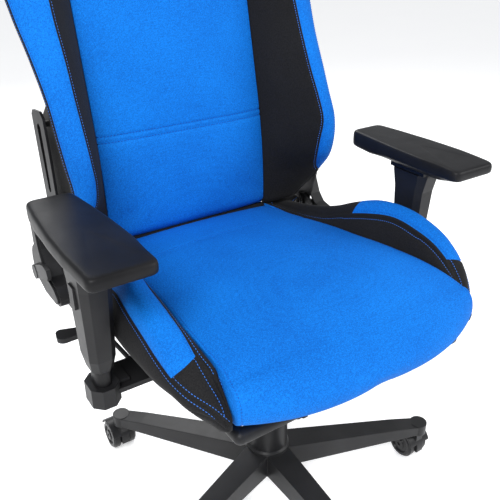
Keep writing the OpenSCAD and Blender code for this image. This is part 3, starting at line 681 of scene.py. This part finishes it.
def make_back_cushion():
    """The centre panel and the headrest, with a double sewn line and two harness slots."""
    levels = heights(BACK_BOTTOM, BACK_TOP - 1, 9, (*SEAMS_Z, 1006))
    back = Soft("back_cushion_soft", [back_ring(z) for z in levels], (6 * MM, 4 * MM), 3)
    seams = [int(np.argmin(abs(levels - z))) for z in (*SEAMS_Z, 1006)]
    back.paint([BLUE, BLACK], lambda i, j: 1 if i >= seams[2] else 0)
    front = BACK_COUNTS[0]
    groove = np.zeros((back.m, back.n))
    groove[seams, :front] = 1.0
    held = [i * back.n + j for i in range(back.m) for j in range(front - 1, back.n)]
    held += [i * back.n for i in range(back.m)]
    held += [i * back.n + j for i in (0, back.m - 1, *seams) for j in range(back.n)]
    back.puff(2.0, 4 * MM, held)
    back.sink(groove, 1.6 * MM)
    runs = [back.cross_line(i, 1, front - 2, lift=0.0008) for i in seams[:2]]
    runs += [back.cross_line(seams[2], 1, front - 2, side=k) for k in (-4 * MM, 4 * MM)]
    stitches("back_cushion_stitches", runs, DARK_THREAD, "back",
             length=0.0036, pitch=0.0058, radius=0.0009)
    for side in (LEFT, RIGHT):
        cut(back.object, slot_outline(side, 0.5), 300, 480, "Y")
        make_slot_trim(side)
    finish_soft(back, "back_cushion", "back")


# Height, inner seam (X, Y), outer seam (X, Y), roll of the strip between them
BACK_ROWS = [
    (496, 228, 238, 237, 241, 2), (512, 240, 228, 246, 233, 2), (535, 248, 209, 254, 213, 2),
    (560, 249, 191, 253, 192, 2), (568, 242, 187, 256, 187, 3), (580, 234, 179, 257, 178, 5),
    (595, 226, 168, 256, 167, 7), (635, 221, 155, 258, 157, 8), (675, 225, 152, 262, 166, 8),
    (715, 225, 169, 262.5, 186, 8), (755, 224, 191, 263, 205, 8), (820, 223, 222, 268, 243, 8),
    (880, 224, 250, 276, 275, 8), (940, 221, 272, 280, 300, 8), (990, 209, 292, 266, 322, 7),
    (1025, 198, 312, 230, 338, 5), (1045, 184, 330, 198, 350, 3)]
STRIP_BOTTOM, STRIP_TOP = 560, 996
# Points of a ring along the inner side, the strip, the outer side, the rear and the root
BACK_BOLSTER_COUNTS = (14, 11, 8, 11, 4, 6)
INNER_END, STRIP_END, OUTER_END = np.cumsum(BACK_BOLSTER_COUNTS)[:3].tolist()
# Height, distance of the rear corner from the middle: wide beside the bracket
REAR_ROWS = [(496, 225), (560, 240), (600, 250), (690, 250), (780, 196), (1045, 176)]


def make_back_bolster(side):
    """A backrest bolster: a blue strip between black sides, with straight ends."""
    name = "back_bolster_left" if side == LEFT else "back_bolster_right"
    levels = heights(496, 1045, 8, (STRIP_BOTTOM, STRIP_TOP))
    rings = []
    for z, row in zip(levels, smooth_rows(BACK_ROWS, levels)):
        face = back_y(z * MM) / MM
        inner, outer, roll = row[0:2], row[2:4], row[4]
        root = (169.5, max(face + 3, inner[1] + 6))
        corners = [root, inner, outer, (outer[0] - 6, outer[1] + 32),
                   (min(np.interp(z, *zip(*REAR_ROWS)), outer[0] - 10), face + 52),
                   (171, face + 53)]
        flat = outline(corners, (4, roll, 2, 3, 0, 0), BACK_BOLSTER_COUNTS)
        slant = 0.24 * min(max((600 - z) / 104, 0), 1)
        drop = z - slant * (235 - flat[:, 0])
        rings.append(np.stack([flat[:, 0] * side, flat[:, 1], drop], axis=1) * MM)
    soft = Soft(name + "_soft", rings, (5 * MM, 6 * MM))
    low, high = (int(np.argmin(abs(levels - z))) for z in (STRIP_BOTTOM, STRIP_TOP))
    strip = range(INNER_END, STRIP_END)
    soft.paint([BLACK, BLUE], lambda i, j: 1 if low <= i < high and j in strip else 0)
    groove = np.zeros((soft.m, soft.n))
    groove[:, (INNER_END, STRIP_END)] = 1.0
    groove[(low, high), INNER_END:STRIP_END + 1] = 1.0
    held = list(np.flatnonzero(groove.reshape(-1)))
    held += [i * soft.n + j for i in range(soft.m) for j in (0, *range(OUTER_END, soft.n))]
    held += [i * soft.n + j for i in (0, soft.m - 1) for j in range(soft.n)]
    soft.puff(2.0, 4 * MM, held)
    soft.sink(groove, 1.6 * MM)
    finish_soft(soft, name, "back")
    above = range(low, soft.m)
    runs = [soft.line(INNER_END, above, side=4 * MM * side),
            soft.line(STRIP_END, above, side=-4 * MM * side)]
    stitches(name + "_stitches", runs, BLUE_THREAD, "back")
    stitches(name + "_seam", [soft.line(STRIP_END, range(low, high), side=4 * MM * side)],
             DARK_THREAD, "back", radius=0.0005)


COVER_ROWS = [(506, 188), (560, 196), (640, 198), (760, 186), (860, 184), (930, 192),
              (1000, 192), (1040, 172), (1080, 156), (1120, 148), (1190, 155), (1240, 151),
              (1262, 140), (1276, 122), (1284, 96)]


def make_back_cover():
    """The fabric that closes the backrest's rear."""
    levels = heights(506, 1284, 9)
    rings = []
    for z in levels:
        half = float(np.interp(z, *zip(*COVER_ROWS)))
        face = back_y(z * MM) / MM + HEAD_FOAM + 0.5
        end = min(1, (z - 506) / 40, (1284 - z) / 30)
        swell = 4.5 + 3.5 * end
        s = np.sin(np.linspace(-1, 1, 33) * math.pi / 2)
        rear = np.stack([s * half, face + swell * (1 - abs(s) ** 6) + 1], axis=1)
        front = np.stack([-s[1:-1] * half, np.full(31, face)], axis=1)
        flat = np.concatenate([rear, front])
        rings.append(np.stack([flat[:, 0], flat[:, 1], np.full(len(flat), z)], axis=1) * MM)
    cover = Soft("back_cover_soft", rings, (1 * MM, 1 * MM), 2)
    cover.paint([BLACK], lambda i, j: 0)
    held = [i * cover.n + j for i in range(cover.m) for j in (0, *range(32, cover.n))]
    held += [i * cover.n + j for i in (0, cover.m - 1) for j in range(cover.n)]
    cover.puff(1.0, 2 * MM, held)
    for side in (LEFT, RIGHT):
        cut(cover.object, slot_outline(side, 0.5), 300, 480, "Y")
    finish_soft(cover, "back_cover", "back")


# ---- tilt spring ------------------------------------------------------------------


KNOB_Y = -82
COIL_LOW, COIL_HIGH, COIL_R, WIRE_R, COIL_TURNS = 290.2, 315.6, 14, 2, 4.5
# Share of the wire's length that lies flat at each end
FLAT_END = 0.12


def make_tension_spring():
    """The coil on the tension knob's bolt: its top stays on the housing as the seat tilts."""
    count, sides = 108, 10
    verts, faces = [], []
    for k in range(count + 1):
        t = k / count
        angle = 2 * math.pi * COIL_TURNS * t
        climb = min(max((t - FLAT_END) / (1 - 2 * FLAT_END), 0), 1)
        out = np.array([math.cos(angle), math.sin(angle), 0])
        middle = out * COIL_R + np.array([0, KNOB_Y, COIL_LOW + (COIL_HIGH - COIL_LOW) * climb])
        for m in range(sides):
            turn = 2 * math.pi * m / sides
            across = out * math.cos(turn) + np.array([0, 0, 1]) * math.sin(turn)
            verts.append((middle + WIRE_R * across) * MM)
    for k in range(count):
        for m in range(sides):
            a, b = k * sides + m, k * sides + (m + 1) % sides
            faces.append((a, b, b + sides, a + sides))
    faces += [tuple(reversed(range(sides))), tuple(range(count * sides, (count + 1) * sides))]
    coil = add_piece("tension_coil", verts, faces, BRIGHT_STEEL)
    if signed_volume(coil.data) < 0:
        coil.data.flip_normals()
    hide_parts("tension_spring")
    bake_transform(coil)


# ---- armrest pads ---------------------------------------------------------------

PAD_TOP = 655
# Depth below the top, inset of the outline, how much the row follows the pad's thickness
PAD_SIDE = [(33, 20, 0), (32.6, 15, 0.15), (31.8, 9, 0.6), (30.5, 4.5, 0.9), (28, 1.6, 1),
            (25, 0.4, 1), (18, 0, 1), (9, 0, 1), (6, 0.2, 1), (3.6, 0.7, 1), (1.8, 1.6, 1),
            (0.7, 3, 1), (0.15, 5, 1), (0, 9, 1)]
# The pocket in the pad's underside that runs over the armrest's rail
RAIL_X, RAIL_HALF, RAIL_FRONT, RAIL_REAR = 306, 13, -93, 73
POCKET_LOW, POCKET_HIGH = 600, 633


def arc(x, y, r, start, stop, steps=8):
    """Points on an arc around (x, y), from one angle in degrees to another."""
    angles = np.radians(np.linspace(start, stop, steps + 1))
    return list(zip(x + r * np.cos(angles), y + r * np.sin(angles)))


def pad_outline(inset):
    """The pad's plan outline: bowed sides and small corners."""
    low, high, front, rear = 263 + inset, 349 - inset, -140 + inset, 125 - inset
    points = arc(high - 9, front + 11, 9, -80, 0) + [(high + 3, -60), (high + 2, 0), (high - 3, 70)]
    points += arc(high - 18, rear - 10, 10, 0, 85) + arc(low + 18, rear - 11, 11, 95, 180)
    points += [(low + 1, 60), (low - 4, 5), (low - 7, -60), (low - 5, -100)]
    points += arc(low + 4, front + 12, 10, 180, 262)
    loop = np.array(points + points[:1])
    reach = np.concatenate([[0], np.cumsum(np.linalg.norm(np.diff(loop, axis=0), axis=1))])
    even = np.linspace(0, reach[-1], 201)[:-1]
    flat = np.stack([np.interp(even, reach, loop[:, k]) for k in (0, 1)], axis=1)
    for _ in range(2):
        flat = (np.roll(flat, 1, axis=0) + 2 * flat + np.roll(flat, -1, axis=0)) / 4
    return flat


def make_pad(side):
    """An armrest pad: bowed in plan, thinner at its front, with rounded edges."""
    name = "arm_pad_left" if side == LEFT else "arm_pad_right"
    rings = []
    for depth, inset, follow in PAD_SIDE:
        flat = pad_outline(inset)
        nose = np.clip((-60 - flat[:, 1]) / 80, 0, 1) ** 2
        wall = np.interp(flat[:, 1], (-140, -60, 20, 70), (0.5, 0.66, 0.72, 1.0))
        floor = np.interp(flat[:, 1], (-130, -90), (0.6, 1.0))
        share = np.where(depth > 6, follow * wall + (1 - follow) * floor, 1)
        z = PAD_TOP - min(depth, 6) - max(depth - 6, 0) * share - 2.5 * nose
        rings.append(np.stack([flat[:, 0] * side, flat[:, 1], z], axis=1) * MM)
    pad = Soft(name + "_soft", rings, (0.0, 1.2 * MM), 8)
    pad.paint([PAD_FOAM], lambda i, j: 0)
    near, far = side * (RAIL_X - RAIL_HALF), side * (RAIL_X + RAIL_HALF)
    rail = [(near, RAIL_FRONT), (far, RAIL_FRONT), (far, RAIL_REAR), (near, RAIL_REAR)]
    cut(pad.object, rail, POCKET_LOW, POCKET_HIGH, "Z")
    pad.object.data.shade_smooth()
    finish_soft(pad, name, name)


# ---- stage ----------------------------------------------------------------------


CAMERA_PLACE = (-0.5398, -0.7482, 1.0128)
# Degrees below the horizon, degrees to the right, and focal length on a 36 mm sensor
CAMERA_DOWN, CAMERA_RIGHT, CAMERA_LENS = 27.5, 33.7, 46.49
FLOOR_HALF = 30


def make_camera():
    """A camera on the sitter's right, in front, that looks down at the seat."""
    data = bpy.data.cameras.new("camera")
    data.sensor_width = 36
    data.lens = CAMERA_LENS
    data.clip_start = 0.05
    camera = bpy.data.objects.new("camera", data)
    camera.location = CAMERA_PLACE
    camera.rotation_euler = (math.radians(90 - CAMERA_DOWN), 0, math.radians(-CAMERA_RIGHT))
    bpy.context.scene.collection.objects.link(camera)
    bpy.context.scene.camera = camera


def make_light(name, place, target, size, power):
    """A round soft light, aimed at a point."""
    data = bpy.data.lights.new(name, "AREA")
    data.shape = "DISK"
    data.size = size
    data.energy = power
    light = bpy.data.objects.new(name, data)
    light.location = place
    aim = Vector(target) - Vector(place)
    light.rotation_euler = aim.to_track_quat("-Z", "Y").to_euler()
    bpy.context.scene.collection.objects.link(light)


def make_stage():
    """A pale floor that glows a little, an even sky and three studio lights."""
    mesh = bpy.data.meshes.new("floor")
    h = FLOOR_HALF
    mesh.from_pydata([(-h, -h, 0), (h, -h, 0), (h, h, 0), (-h, h, 0)], [], [(0, 1, 2, 3)])
    ground = Shader("pale_floor")
    ground.link(ground.ramp(ground.noise(3), (0.93, 0.93, 0.935), (0.95, 0.95, 0.95)),
                ground.bsdf.inputs["Base Color"])
    ground.set(Roughness=0.8, Emission_Color=(1, 1, 1, 1), Emission_Strength=0.42)
    mesh.materials.append(ground.material)
    floor = bpy.data.objects.new("floor", mesh)
    bpy.context.scene.collection.objects.link(floor)
    world = bpy.data.worlds.new("studio")
    world.use_nodes = True
    world.node_tree.nodes["Background"].inputs["Color"].default_value = (0.95, 0.97, 1, 1)
    world.node_tree.nodes["Background"].inputs["Strength"].default_value = 0.5
    bpy.context.scene.world = world
    bpy.context.scene.view_settings.view_transform = "Standard"
    make_light("key", (-1.6, -1.4, 2.7), (0, 0, 0.5), 1.4, 78)
    make_light("fill", (1.9, -1.7, 1.9), (0, 0, 0.5), 1.8, 40)
    make_light("rim", (0.6, 2.2, 2.3), (0, 0, 0.7), 1.6, 40)


make_camera()
dress_cad_nodes()
make_seat()
for each_side in (LEFT, RIGHT):
    make_seat_bolster(each_side)
    make_back_bolster(each_side)
    make_pad(each_side)
make_back_cushion()
make_back_cover()
make_tension_spring()
make_stage()
